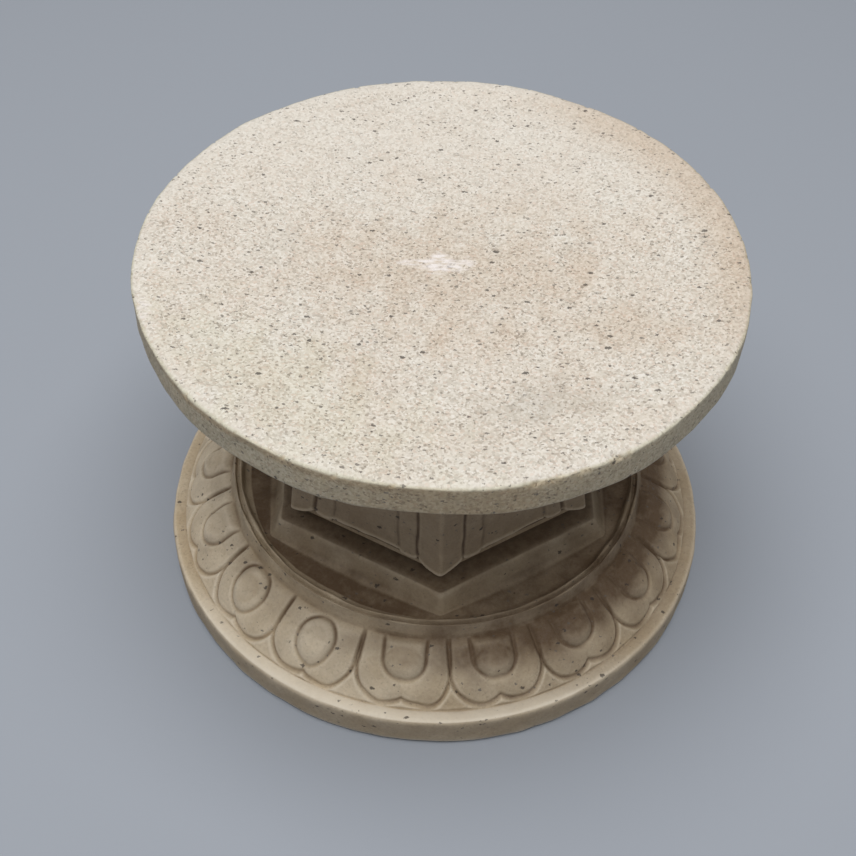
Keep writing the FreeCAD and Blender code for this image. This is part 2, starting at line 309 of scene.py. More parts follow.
def inside_tongue(along, across, half_width, nearness, roundness):
    """Distance inside a tongue whose round end points at the border, open or a full circle."""
    centre = PETAL_LENGTH * (TONGUE_MIDDLE - nearness)
    end = inside_oval(along - centre, across, PETAL_LENGTH * TONGUE_END, half_width)
    sides = np.minimum(half_width - np.abs(across), along - centre)
    closed = inside_oval(along - centre, across, half_width * 0.98, half_width)
    return np.maximum(end, np.where(roundness > 0.5, closed, sides))


# %% Cuts and swellings of a petal, in millimetres
GROOVE_WIDTH, GROOVE_DEPTH = 0.45, 0.5  # round the petal
TONGUE_GROOVE_WIDTH, TONGUE_GROOVE_DEPTH = 0.5, 0.45  # round the tongue
PUFF, PUFF_REACH = 1.25, 1.8  # how high the petal swells, and how soon behind its edge
DART = 0.6  # the leaf tip between two petals
DOME, BUTTON = 1.0, 0.55  # the tongue, and the boss on it
GAP, ROOT_GAP = 0.15, 0.2  # bare slope left beside a petal, at its widest and at its root

# %% [markdown]
# Each petal draws its own lean, width, boss and roundness once. Two tongues near the front are
# closed to full circles, and the others stay open towards the collar.


# %% Relief of the petal ring
def petal_relief(radius, angles, disc_radius, seed):
    """Height of the carving over the slope, and how deep in a groove each point lies."""
    border = disc_radius - BORDER_WIDTH
    pitch = 360 / PETAL_COUNT
    turned = (np.degrees(angles) + 90 - PETAL_START) / pitch
    number = np.floor(turned).astype(int) % PETAL_COUNT
    random = np.random.default_rng(seed)
    lean, width, boss_x, _, near = random.normal(size=(5, PETAL_COUNT)) * 0.5
    roundness = random.random(PETAL_COUNT) * 0.7
    roundness[-3:-1] = 1.0
    along = border - radius
    across = (turned - np.floor(turned) - 0.5) * radius * math.radians(pitch)
    across = across + lean[number] * 0.5 * (1 - along / PETAL_LENGTH)
    flat_map = np.stack([across, along, number * 9.0 + 0 * along], -1)
    along_moved = along + ripples(flat_map, 9, seed) * 0.2

    half_pitch = math.radians(pitch) / 2
    widest = border - PETAL_LENGTH * (LOBE_HALF_LENGTH + LOBE_TIP)
    half_width = widest * half_pitch - GAP + width[number] * 0.15
    root_half_width = (border - PETAL_LENGTH) * half_pitch - ROOT_GAP
    petal = inside_petal(along_moved, across, half_width, root_half_width)
    nearness = near[number] * 0.04
    tongue_half = PETAL_LENGTH * (TONGUE_HALF_WIDTH + 0.02 * width[number])
    tongue_across = across + boss_x[number] * 0.6
    tongue = inside_tongue(along_moved, tongue_across, tongue_half, nearness, roundness[number])
    boss = inside_oval(
        along_moved - PETAL_LENGTH * (BOSS_MIDDLE - nearness),
        across + boss_x[number] * 1.6,
        PETAL_LENGTH * BOSS_HALF_LENGTH,
        PETAL_LENGTH * BOSS_HALF_WIDTH,
    )

    on_petal = smooth_step(petal, 0.2, 1.2)
    groove = hump(petal, 0, GROOVE_WIDTH)
    ring = hump(tongue, 0, TONGUE_GROOVE_WIDTH) * on_petal
    height = PUFF * (1 - np.exp(-np.maximum(petal, 0) / PUFF_REACH))
    height = height + DART * smooth_step(-petal, 0.1, 0.9) * smooth_step(along, 0.1, 0.7)
    height = height + DOME * smooth_step(tongue, -0.2, 2.2) * on_petal
    height = height + BUTTON * smooth_step(boss, -0.6, 2.4)
    height = height - GROOVE_DEPTH * groove - TONGUE_GROOVE_DEPTH * ring
    fade = smooth_step(along, -0.2, 0.9) * smooth_step(PETAL_LENGTH - along, -1.0, 2.2)
    return height * fade, np.clip(groove + 0.8 * ring, 0, 1) * fade


# %% [markdown]
# ## One carved stone
# The base and the upper stone share one template. The base lies on its flat side. The upper stone
# is turned over, and its flat side is hollowed into the dish. Each run of the template belongs to
# a zone, so that later cells can tell the petals from the collar or the floor.

# %% Zones of the outline
UNDER, BAND, BORDER, PETALS, COLLAR, FLOOR, STEP, SEAT, BORE, DISH = range(10)
SLOPE_OUT, SLOPE_UP = 0.64, 0.77  # the direction in which the petal slope bulges
COLLAR_LEAN = 1.0  # the collar's outer wall leans in by this much
BEAD_CUT = BEAD_RISE * 2.6  # the beads are cut too high, and the wear takes most of it off again


def by_zone(zones, amounts):
    """One value for every point, by the zone of its ring, and 0 in zones that aren't named."""
    value = np.zeros((len(zones), COLUMNS))
    for zone, amount in amounts.items():
        value = np.where((zones == zone)[:, None], amount, value)
    return value


def carved_corners(disc_radius, band):
    """Corners of the outline from the band's top to the seat of the waist."""
    border = disc_radius - BORDER_WIDTH
    petal_end = border - PETAL_LENGTH
    collar_foot = petal_end - COLLAR_LEAN
    collar_end = petal_end - 2 * BEAD_WIDTH
    foot = collar_end - STEP_CORNER_GAP
    step_top = foot - STEP_BEVEL
    top = band + COLLAR_RISE
    floor = band + FLOOR_RISE
    slope = []
    for share in np.linspace(0, 1, 13)[:-1]:
        bulge = SLOPE_BULGE * 4 * share * (1 - share)
        radius = border - PETAL_LENGTH * share + bulge * SLOPE_OUT
        height = band - PETAL_SINK + (PETAL_RISE + PETAL_SINK) * share + bulge * SLOPE_UP
        slope.append((radius, height, 0, 0.36, PETALS))
    return [
        (disc_radius, band, 0, 0.5, BORDER),
        (border, band, 0, 0.4, BORDER),
        *slope,
        (petal_end, band + PETAL_RISE, 0, 0.45, COLLAR),
        (collar_foot, top, 0, 0.3, COLLAR),
        (collar_foot - BEAD_WIDTH * 0.2, top + BEAD_CUT, 0, 0.3, COLLAR),
        (petal_end - BEAD_WIDTH, top - 0.3, 0, 0.3, COLLAR),
        (petal_end - BEAD_WIDTH * 1.5, top + BEAD_CUT, 0, 0.3, COLLAR),
        (collar_end, top, 0, 0.35, COLLAR),
        (collar_end - 0.3, floor, 0, 0.2, FLOOR),
        (foot, floor, 1, 0.5, STEP),
        (step_top, floor + STEP_HEIGHT, 1, 0.5, SEAT),
        (step_top - LEDGE - NECK_DEPTH - 2, floor + STEP_HEIGHT, 1, 6.0, SEAT),
    ]


# %% Building a stone
def build_rings(corners, wear, closed):
    """Points, zones and plain radius of every ring."""
    outline = worn_outline(corners, wear, closed)
    share = six_sided(1.5)
    radius = outline[:, :1] * (1 - outline[:, 2:3] * (1 - share))
    height = np.broadcast_to(outline[:, 1:2], radius.shape)
    points = np.stack([radius * np.cos(columns), radius * np.sin(columns), height], axis=2)
    return points, outline[:, 3].astype(int), radius


def carve(points, zones, radius, disc_radius, seed, closed):
    """Cuts the petals into the rings and roughens them by hand; returns the groove value too.

    The waves are 32, 8 and 14 mm long. The last are for the places a chisel reaches badly.
    """
    normals = ring_normals(points, closed)
    height, groove = petal_relief(radius, np.broadcast_to(columns, radius.shape), disc_radius, seed)
    carved = (zones == PETALS)[:, None]
    tight = np.isin(zones, (COLLAR, FLOOR, STEP))[:, None]
    hand = 0.18 * ripples(points, 32, seed + 1) + 0.08 * ripples(points, 8, seed + 2)
    hand = hand + 0.22 * ripples(points, 14, seed + 3) * tight
    hand = hand * smooth_step(radius, 6, 20) * (~np.isin(zones, (SEAT, BORE)))[:, None]
    moved = points + normals * (np.where(carved, height, 0) + hand)[..., None]
    return moved, np.where(carved, groove, 0)


# %% [markdown]
# ### The base stone
# It stands on a flat foot with a broken edge, and its seat has the blind hole for the lower dowel.

# %% Base stone, its shape
BASE_WEAR = 0.85  # mm
hole_foot = node_box("lower_dowel")[0][2]
base_corners = [
    (0.3, 0, 0, 8, UNDER),
    (BASE_RADIUS - FOOT_CHAMFER, 0, 0, 0.6, BAND),
    (BASE_RADIUS, FOOT_CHAMFER, 0, 0.9, BAND),
    *carved_corners(BASE_RADIUS, BASE_BAND),
    (HOLE_RADIUS, BASE_HEIGHT, 0, 0.8, BORE),
    (HOLE_RADIUS, hole_foot, 0, 3.0, BORE),
    (0.3, hole_foot, 0, 3.0, BORE),
]
points, zones, radius = build_rings(base_corners, BASE_WEAR, closed=False)
points, groove = carve(points, zones, radius, BASE_RADIUS, 4, closed=False)
points[..., 2] = np.clip(points[..., 2], 0, BASE_HEIGHT)
hollow = hollows(points, ring_normals(points, closed=False), closed=False)
print(f"base stone: {len(points)} rings, deepest hollow {hollow.max():.2f} mm")

# %% [markdown]
# Grime gathers where a cloth never reaches: in the grooves, at the petals' roots, behind the
# collar and along the foot of the step. The same values carry painted shade too: the hollows,
# the petals' roots and the floor under the upper stone are painted darker. It could be painted by
# hand, but then it would stay behind when a size changes. So it follows the zones and the hollows.
# The right side is painted darker, as painted shade from light that falls from the left, and the
# front of the border and the left petals are painted paler, as painted light.

# %% Base stone, its grime and wear, with painted light and shade
# Painted shade on the right side of the petals, collar and border, and painted light on the front
# of the border, as if the light fell from the left and the front.
right = 0.5 + 0.5 * np.tanh(3 * np.sin(np.radians(front)))
lit_front = smooth_step(np.cos(np.radians(front + 10)), 0.45, 0.97)
towards_right = smooth_step(np.sin(np.radians(front + 10)), -0.4, 0.5)
# The petals' roots are painted darker: partly grime, partly painted shade under the upper stone.
roots_in_shade = 1 - smooth_step(radius, 66, 73.5)  # the petals' roots
patchy = 0.1 * ripples(points, 11, 61)
grime_and_shade_by_zone = {
    PETALS: 0.08 + 0.16 * roots_in_shade + right * (0.08 + 0.26 * right + 0.55 * roots_in_shade) + patchy,
    FLOOR: 0.86 + 0.1 * np.cos(np.radians(2 * front + 100)) + patchy,
    COLLAR: 0.38 + 0.42 * towards_right + patchy,
    STEP: 0.5 + patchy,
    SEAT: 0.85,
    BORDER: 0.2 - 0.2 * lit_front + 0.25 * right,
    BAND: 0.42,
}
# Painted light: the front of the border and the left petals are painted paler, laid on with the
# wear.
painted_light = by_zone(zones, {BORDER: 0.9 * lit_front, PETALS: 0.3 * (1 - right)})
# Grime together with painted shade: the grooves, the hollows, the floor and the seat are painted
# darker.
grime_and_shade = by_zone(zones, grime_and_shade_by_zone) + groove * (0.12 + 0.5 * roots_in_shade) + hollow * 0.6
base_values = {"grime_and_shade": np.clip(grime_and_shade, 0, 1), "wear_and_light": np.clip(painted_light - hollow * 0.8, 0, 1)}
base = make_mesh("base_stone_carved", points, False, base_values)
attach(base, "root")
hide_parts("base_stone")

# %% [markdown]
# ### The upper stone
# The same template is turned over, so its rings run the other way. The flat side is hollowed to a
# shallow dish, a cap of a very large ball.

# %% The dish as a cap of a ball
dish_radius = UPPER_RADIUS - LIP_WIDTH
ball = (dish_radius**2 + DISH_DEPTH**2) / (2 * DISH_DEPTH)
print(f"the dish is a cap of a ball of {ball:.0f} mm radius")


def dish_depth(radius):
    """Depth below the rim at a radius, nothing outside the dish."""
    inside = np.clip(radius, 0, dish_radius)
    return DISH_DEPTH - (ball - np.sqrt(ball**2 - inside**2))


# %% Upper stone, first standing on its dish
UPPER_WEAR = 0.5  # mm, less than the base's, so the rim of the dish stays crisper
upper_corners = [
    *((r, dish_depth(r), 0, 0.9, DISH) for r in np.linspace(HOLE_RADIUS, dish_radius, 24)),
    (UPPER_RADIUS - 0.2, 0.25, 0, 0.45, BAND),
    *carved_corners(UPPER_RADIUS, UPPER_BAND),
    (HOLE_RADIUS, UPPER_HEIGHT, 0, 1.5, BORE),
]
points, zones, radius = build_rings(upper_corners, UPPER_WEAR, closed=True)
in_dish = (zones == DISH)[:, None] & (radius < 60)
radius[zones == BORE] = HOLE_RADIUS
radius[0] = HOLE_RADIUS  # the hole's mouth is crisp, because the plug fills it
radius = np.maximum(radius, HOLE_RADIUS)
points[..., 2] = np.where(in_dish, dish_depth(radius), points[..., 2])
points[..., 0], points[..., 1] = radius * np.cos(columns), radius * np.sin(columns)
points, groove = carve(points, zones, radius, UPPER_RADIUS, 9, closed=True)
points[..., 2] = TOP - points[..., 2]  # turned over
points, groove = points[::-1], groove[::-1]
zones, radius = zones[::-1], radius[::-1]
print(f"upper stone: {len(points)} rings")

# %% [markdown]
# The rim isn't a true circle, because it was trimmed by hand into long, very shallow flats. The
# arris round the dish is full of small nicks, and a row of larger chips is missing from its front.

# %% Rim flats, nicks and chips
rim = smooth_step(radius, 60, 79)
flats = 0.3 * np.sin(np.radians(3 * front + 40)) + 0.14 * np.sin(np.radians(7 * front - 70))
flats = flats + 0.07 * np.sin(np.radians(13 * front)) - 0.3
points[..., :2] *= (1 + rim * flats / UPPER_RADIUS)[..., None]

CHIPS = (  # degrees from the front, half width in degrees, depth in millimetres
    (16.5, 1.6, 0.8),
    (20.0, 1.2, 0.6),
    (24.5, 1.8, 0.5),
    (30.5, 1.3, 0.9),
    (33.0, 0.7, 0.5),
)
near_arris = hump(points[..., 2], TOP, 1.3) * smooth_step(radius, 77.5, 79.2)
nicks = 0.35 * smooth_step(ripples(points, 2.6, 88), 0.6, 1.0)
chips = sum(depth * hump(front, where, width) for where, width, depth in CHIPS)
ragged = np.clip(1 + 0.5 * ripples(points, 2.2, 89), 0.2, 1.8)
cut = (nicks + chips * ragged) * near_arris
outward = np.stack([np.cos(columns), np.sin(columns), 0 * columns], axis=1)
points = points - outward[None] * (cut * 0.8)[..., None]
points[..., 2] -= cut * 0.5
print(f"deepest chip {cut.max():.2f} mm")

# %% [markdown]
# ### Stains in the dish
# Food, smoke, damp and lime have each left a mark, with no sharp edge. Each mark is a soft oval,
# laid out one by one. Its edge wanders with the ripples, so it never looks drawn with a compass.

# %% Stains and worn places in the dish
# strength, x, y, half length and half width in millimetres, turn in degrees
MIDDLE_BROWN = (0.4, 4, -4, 42, 30, 8)
BROWN = (MIDDLE_BROWN, (0.4, 47, -24, 17, 12, -20), (0.25, -20, -42, 11, 9, 0))
SMOKE = ((0.8, 24, -50, 17, 8, 14), (0.5, -40, 7, 7, 4, 80))
MIDDLE_LIME = (1.0, 0.6, 0, 7.0, 4.2, -4)
LIME = (
    MIDDLE_LIME,
    (0.9, -6, 0.8, 7, 1.6, 2),
    (0.6, -74, -24, 8, 2.6, -70),
    (0.4, 24, -49, 8, 3, 15),
)
GREEN = ((0.3, -36, -50, 50, 20, -38),)  # a breath of algae on the damp side


def stain(points, ovals):
    """The strongest of some soft ovals, each fading to 0 at about its edge."""
    edge = 0.35 * ripples(points, 9, 77)
    strongest = np.zeros(points.shape[:2])
    for strength, x, y, half_length, half_width, turn in ovals:
        angle = math.radians(turn)
        along = (points[..., 0] - x) * math.cos(angle) + (points[..., 1] - y) * math.sin(angle)
        across = (points[..., 1] - y) * math.cos(angle) - (points[..., 0] - x) * math.sin(angle)
        away = np.hypot(along / half_length, across / half_width) + edge
        strongest = np.maximum(strongest, strength * (1 - smooth_step(away, 0.1, 1.3)))
    return strongest


# %% Upper stone, its marks
below = TOP - points[..., 2]
on_band = (zones == BAND)[:, None]
on_top = ((zones == DISH) | (zones == BAND))[:, None]
back_right = smooth_step(np.cos(np.radians(front - 112)), 0.5, 0.95)
brown = np.maximum(stain(points, BROWN), 0.65 * back_right * smooth_step(radius, 62, 78))
# The band is painted browner all round and darker towards the front, where its upright face gets
# less light: painted shade. A thin tint runs under the arris at the front left.
band_brown_and_shade = 0.5 + 0.5 * hump(front, 5, 22)
band_brown_and_shade = band_brown_and_shade + 0.9 * hump(below, 1.4, 1.0) * hump(front, -32, 24)
band_brown_and_shade = band_brown_and_shade * on_band * smooth_step(below, 0.2, 1.2)
# The whole underside is painted brown: painted shade under the upper stone.
underside = np.isin(zones, (BORDER, PETALS, COLLAR, FLOOR, STEP, SEAT))[:, None]
brown = np.maximum(np.maximum(brown * on_top, band_brown_and_shade), 0.9 * underside)
green = np.where(on_band, 0.75, stain(points, GREEN) * on_top)

# %% Upper stone, finished
# The carved underside is painted darker, as painted shade under the stone with some grime; the
# hollows are painted darker too.
UPPER_GRIME_AND_SHADE = {FLOOR: 0.7, SEAT: 0.7, COLLAR: 0.4, PETALS: 0.3, BAND: 0.03, BORDER: 0.15}
hollow = hollows(points, ring_normals(points, closed=True), closed=True)
hollow = hollow * smooth_step(radius, 7, 14)  # the plug fills the hole, so no grime lies there
rubbed_smooth = 0.5 * smooth_step(points[..., 1], -15, 60) * on_top  # the back half is smoother
grime_and_shade = by_zone(zones, UPPER_GRIME_AND_SHADE) + 0.6 * groove + hollow * 1.5
upper_values = {
    "grime_and_shade": np.clip(grime_and_shade, 0, 1),
    "wear_and_light": np.clip(rubbed_smooth - hollow * 1.6, 0, 1),
    "brown": brown,
    "green": green,
    "smoke": stain(points, SMOKE) * on_top,
    "lime": stain(points, LIME) * on_top,
}
upper = make_mesh("upper_stone_dished", points, True, upper_values)
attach(upper, "root")
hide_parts("upper_stone")

# %% [markdown]
# ### The plug in the middle of the dish
# The hole of the upper dowel is closed with lime putty, coloured with stone dust and rubbed level.
# Its own edge can't be seen, only the white lime smeared across it. So its top follows the same
# ball as the dish, and it carries the same stains.

# %% Centre plug
plug_foot = TOP - plug_low[2]
plug_corners = [
    (0.2, plug_foot, 0, 1.0, BORE),
    (HOLE_RADIUS, plug_foot, 0, 1.0, BORE),
    (HOLE_RADIUS, dish_depth(HOLE_RADIUS), 0, 0.7, DISH),
    (0.2, DISH_DEPTH, 0, 0.7, DISH),
]
points, zones, radius = build_rings(plug_corners, 0.05, closed=False)
level = zones == DISH
radius[np.flatnonzero(level)[0]] = HOLE_RADIUS  # no gap to the stone round it
points[level, :, 0] = (radius * np.cos(columns))[level]
points[level, :, 1] = (radius * np.sin(columns))[level]
points[level, :, 2] = dish_depth(radius)[level]
points[..., 2] = TOP - points[..., 2]
points = points[:, ::6]  # it is small, so a sixth of the columns is enough
plug_values = {"lime": stain(points, [MIDDLE_LIME]), "brown": stain(points, [MIDDLE_BROWN])}
plug = make_mesh("centre_plug_rubbed", points, False, plug_values)
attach(plug, "root")
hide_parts("centre_plug")

# %% [markdown]
# ### The waist
# The waist is six-sided. A pilaster wraps each corner, with a rounded foot and a cut line on both
# sides of it. Beside it lies a narrower strip, then a sunk panel. Each piece of relief is written
# as a depth against the distance from the nearest corner, measured along the side. Boxes could be
# cut out of a prism instead, but then the worn line ends and rounded feet would all need tools of
# their own.

# %% Waist setting-out
RINGS_INWARDS = BORDER_WIDTH + PETAL_LENGTH + 2 * BEAD_WIDTH + STEP_CORNER_GAP + STEP_BEVEL + LEDGE
foot_corner = BASE_RADIUS - RINGS_INWARDS
head_corner = UPPER_RADIUS - RINGS_INWARDS
WAIST_HOLLOW = 2.0  # the corners draw in this far at mid height
PILASTER_WIDTH, STRIP_WIDTH = 7.4, 6.2
LINE_DEPTH, LINE_WIDTH = 0.75, 0.5
PANEL_SINK = 0.5
FOOT_FLARE = 1.7  # height in which the neck opens out to the full width
RING_SPACING = 0.5
waist_heights = np.arange(waist_low[2], waist_high[2] + 0.24, RING_SPACING)
waist_heights = np.clip(waist_heights, waist_low[2], waist_high[2])
print(f"waist corner radius {foot_corner:.1f} mm at the foot, {head_corner:.1f} mm at the head")

# %% Places on the waist
height = waist_heights[:, None]
middle = (waist_low[2] + waist_high[2]) / 2
half = (waist_high[2] - waist_low[2]) / 2
level = (height - middle) / half  # -1 at the foot, 1 at the head
corner_radius = (foot_corner + head_corner) / 2 - (foot_corner - head_corner) / 2 * level
corner_radius = corner_radius - WAIST_HOLLOW * (1 - level**2)
side = corner_radius * math.cos(math.radians(SIDE_ANGLE / 2))
from_middle = side * np.tan(np.radians(from_corner - SIDE_ANGLE / 2))
from_edge = corner_radius / 2 - np.abs(from_middle)
side_number = np.floor(np.arange(COLUMNS) / COLUMNS * 6)
flat_map = np.stack(np.broadcast_arrays(from_middle, height, side_number * 40), -1)
edge = from_edge + 0.25 * ripples(flat_map, 12, 5)  # no line is quite straight

# %% Waist relief
panel_edge = PILASTER_WIDTH + STRIP_WIDTH
line = hump(edge, PILASTER_WIDTH, LINE_WIDTH)
second = 0.45 * hump(edge, panel_edge, LINE_WIDTH + 0.1)  # shallower than the first
sunk = PANEL_SINK * smooth_step(edge, PILASTER_WIDTH, PILASTER_WIDTH + 0.8)
sunk = sunk + 0.35 * smooth_step(edge, panel_edge, panel_edge + 1.2)

# %% [markdown]
# The neck is the dark groove at the foot and the head. Each pilaster, strip and panel starts out
# of it at its own height: the pilaster's foot is rounded to a tongue, and the strip's ends are
# scooped.

# %% Rounded feet and heads, and the neck behind them
pilaster_foot = 0.3 + 3.2 * np.clip(edge / PILASTER_WIDTH, 0, 1) ** 2
strip_share = np.clip((edge - PILASTER_WIDTH - STRIP_WIDTH / 2) / (STRIP_WIDTH / 2), -1, 1)
strip_foot = 3.5 - 1.4 * np.sqrt(np.maximum(1 - strip_share**2, 0))
panel_foot = 2.9
foot = np.where(edge < PILASTER_WIDTH, pilaster_foot, strip_foot)
foot = np.where(edge > panel_edge, panel_foot, foot)
from_end = half - np.abs(height - middle)
out = smooth_step(from_end, foot - 0.2, foot + FOOT_FLARE)
relief = -(LINE_DEPTH * (line + second) + sunk) * out
neck = corner_radius - NECK_DEPTH
waist_radius = (neck + (corner_radius - neck) * out + relief) * six_sided(1.8)
points = [waist_radius * np.cos(columns), waist_radius * np.sin(columns), height + 0 * waist_radius]
points = np.stack(points, axis=2)
normals = ring_normals(points, closed=False)
hand = 0.14 * ripples(points, 26, 31) + 0.07 * ripples(points, 6, 32)
points[1:-1] += (normals * hand[..., None])[1:-1]

# %% Waist stone, closed round its two dowel holes
DOWEL_END_ROOM = 1.0  # room above the lower dowel
blind_top = node_box("lower_dowel")[1][2] + DOWEL_END_ROOM
blind_foot = node_box("upper_dowel")[0][2]


def flat_ring(radius, height):
    """One level circle of points."""
    radius = radius + 0 * columns
    ring = [radius * np.cos(columns), radius * np.sin(columns), height + 0 * columns]
    return np.stack(ring, axis=1)


lower_hole = [(0.3, blind_top), (HOLE_RADIUS, blind_top), (HOLE_RADIUS, waist_low[2])]
upper_hole = [(HOLE_RADIUS, waist_high[2]), (HOLE_RADIUS, blind_foot), (0.3, blind_foot)]
HOLE_RINGS = len(lower_hole)
lower_rings = np.stack([flat_ring(*ring) for ring in lower_hole])
upper_rings = np.stack([flat_ring(*ring) for ring in upper_hole])
points = np.concatenate([lower_rings, points, upper_rings])
hollow = hollows(points, ring_normals(points, closed=False), closed=False)

# %% Waist stone, its grime and painted shade, and its wear
hole_rows = ((HOLE_RINGS, HOLE_RINGS), (0, 0))
shown = np.pad(out, hole_rows)  # 0 in the neck and in the holes
cut_lines = np.pad(np.clip(line + second, 0, 1), hole_rows)
# The whole waist is painted darker, most in the neck, along the cut lines and in the hollows: grime
# and painted shade under the upper stone. Its ridges are painted paler: painted highlight.
grime_and_shade = 0.35 + 0.6 * (1 - shown) + 0.5 * cut_lines + np.clip(hollow, -1, 1) * 1.5
waist_values = {"grime_and_shade": np.clip(grime_and_shade, 0, 1), "wear_and_light": np.clip(-hollow * 2.0, 0, 1) * shown}
waist = make_mesh("waist_stone_carved", points, False, waist_values)
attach(waist, "root")
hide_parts("waist_stone")

# %% [markdown]
# ## Materials
# Granite is a mass of grains: cream and white feldspar, a little rose feldspar, grey glassy
# quartz, and flakes of black mica. Its colour comes from all of them together, so the material
# draws the grains and not one flat colour. Colours are written as sRGB hex, the way a paint card
# gives them, and one function turns them to the linear values that light needs.


# %% Colours and nodes
def colour(hex_code):
    """An sRGB hex colour as linear red, green, blue and full opacity."""
    channels = [int(hex_code[i : i + 2], 16) / 255 for i in (1, 3, 5)]
    linear = [c / 12.92 if c <= 0.04045 else ((c + 0.055) / 1.055) ** 2.4 for c in channels]
    return (*linear, 1.0)


def add(tree, kind, sockets=None, stops=None, **settings):
    """Adds a node with its settings, its socket values or links, and any ramp stops."""
    node = tree.nodes.new(kind)
    for key, value in settings.items():
        setattr(node, key, value)
    for key, value in (sockets or {}).items():
        if isinstance(value, bpy.types.NodeSocket):
            tree.links.new(value, node.inputs[key])
        else:
            node.inputs[key].default_value = value
    for number, (place, shade) in enumerate(stops or []):
        marks = node.color_ramp.elements
        mark = marks[number] if number < 2 else marks.new(place)
        mark.position, mark.color = place, shade
    return node


def new_material(name):
    """An empty material, its node tree and its output node."""
    material = bpy.data.materials.new(name)
    material.use_nodes = True
    tree = material.node_tree
    tree.nodes.clear()
    return material, tree, add(tree, "ShaderNodeOutputMaterial")


# %% [markdown]
# ### Grains of granite
# The grains are Voronoi cells 0.55 mm across, about the real grain of this fine stone. Each cell
# draws a random number, and the number picks its mineral. Real grains don't meet in straight
# lines, so noise first jostles the places that the cells are drawn from.

# %% Grains
GRAIN = 0.55  # mm, one feldspar or quartz grain
GRAIN_SWAY, GRAIN_REACH = 1.1, 0.7  # mm, size of the noise that bends the grains, and how far
MINERALS = (  # share of the grains up to here, and what the mineral does to the ground colour
    (0.0, "#ECE8E1"),  # cream feldspar
    (0.22, "#FFFFFF"),  # white feldspar
    (0.40, "#DDD9D1"),
    (0.60, "#FCFAF7"),
    (0.78, "#C6C1B9"),  # grey quartz
    (0.90, "#F2E6DE"),  # rose feldspar
    (1.0, "#A39D94"),  # smoky quartz
)


def jostled(tree, noise_place, where, size, detail, reach):
    """where, moved about by up to reach millimetres by a noise of that size in millimetres."""
    sway = add(
        tree,
        "ShaderNodeTexNoise",
        {"Vector": noise_place, "Scale": 1 / (size * MM), "Detail": detail},
    )
    moved = add(
        tree,
        "ShaderNodeVectorMath",
        {0: sway.outputs["Color"], 1: (reach * MM, reach * MM, reach * MM), 2: where},
        operation="MULTIPLY_ADD",
    )
    return moved.outputs[0]


def cells(tree, where, spacing, channel):
    """A random number for each cell of that spacing, and the distance from the cell's middle."""
    found = add(
        tree,
        "ShaderNodeTexVoronoi",
        {"Vector": where, "Scale": 1 / (spacing * MM), "Randomness": 1.0},
    )
    numbers = add(tree, "ShaderNodeSeparateColor", {"Color": found.outputs["Color"]})
    return numbers.outputs[channel], found.outputs["Distance"]


def pale_grains(tree, place):
    """Colour of the grain at each point, and the random number of that grain."""
    bent = jostled(tree, place, place, GRAIN_SWAY, 1.0, GRAIN_REACH)
    number, _ = cells(tree, bent, GRAIN, "Red")
    minerals = [(share, colour(tint)) for share, tint in MINERALS]
    ramp = add(tree, "ShaderNodeValToRGB", {"Fac": number}, stops=minerals)
    return ramp.outputs["Color"], number


print(f"{len(MINERALS)} tints of grain, each grain {GRAIN} mm across")


# %% [markdown]
# ### Mica
# The mica is a second, wider set of cells. Only some of them hold a flake, and the flake fills
# only the middle of its cell. A third, closer set gives the fine dark grains between. Both lie
# drawn out a little along the stone's bed, as flakes do.

# %% Mica flakes
MICA_SPACING, MICA_WIDEST = 2.2, 0.55  # mm between places for a flake, and its share of that
DUST_SPACING, DUST_WIDEST = 1.1, 0.7  # the same for the finest dark grains
BEDDING = (0.7, 1.0, 1.0)  # flakes come out longer along X
FLAKE_SWAY, FLAKE_REACH = 0.6, 1.1  # mm, as for the grains, but more ragged


def flakes(tree, where, spacing, share, widest):
    """1 in a dark flake, 0 outside. share of the cells hold one, up to widest cells across."""
    number, distance = cells(tree, where, spacing, "Green")
    sizes = {"From Min": 1 - share, "From Max": 1.0, "To Min": 0.0, "To Max": widest / 2}
    size = add(tree, "ShaderNodeMapRange", {"Value": number, **sizes})
    edge = add(
        tree, "ShaderNodeMath", {0: size.outputs["Result"], 1: distance}, operation="SUBTRACT"
    )
    soft_edge = {"Value": edge.outputs[0], "From Min": -0.01, "From Max": 0.05}
    return add(tree, "ShaderNodeMapRange", soft_edge).outputs["Result"]


def dark_grains(tree, place, mica_share, dust_share):
    """The mica flakes and the fine dark grains, each 1 inside and 0 outside."""
    bedded = add(tree, "ShaderNodeMapping", {"Vector": place, "Scale": BEDDING}).outputs[0]
    bent = jostled(tree, place, bedded, FLAKE_SWAY, 2.0, FLAKE_REACH)
    mica = flakes(tree, bent, MICA_SPACING, mica_share, MICA_WIDEST)
    dust = flakes(tree, bent, DUST_SPACING, dust_share, DUST_WIDEST)
    return mica, dust


print(f"mica flakes up to {MICA_SPACING * MICA_WIDEST:.1f} mm across")


# %% [markdown]
# ### A granite with its age on it
# Over the grains lie the marks of use, and painted light and shade with them. Grime and painted
# shade sit in the hollows and under the upper stone, the high places are rubbed pale, some lit
# places are painted pale, and the dish carries brown and green stains, a smoky patch and streaks of
# lime. Each mark is a named value on the mesh. Noise breaks it up, so that its edge follows the
# grain of the stone.

# %% Pits and marks
PITTING, PIT_DEPTH = 2.4, 0.12  # mm, width and height of the tooled surface's unevenness


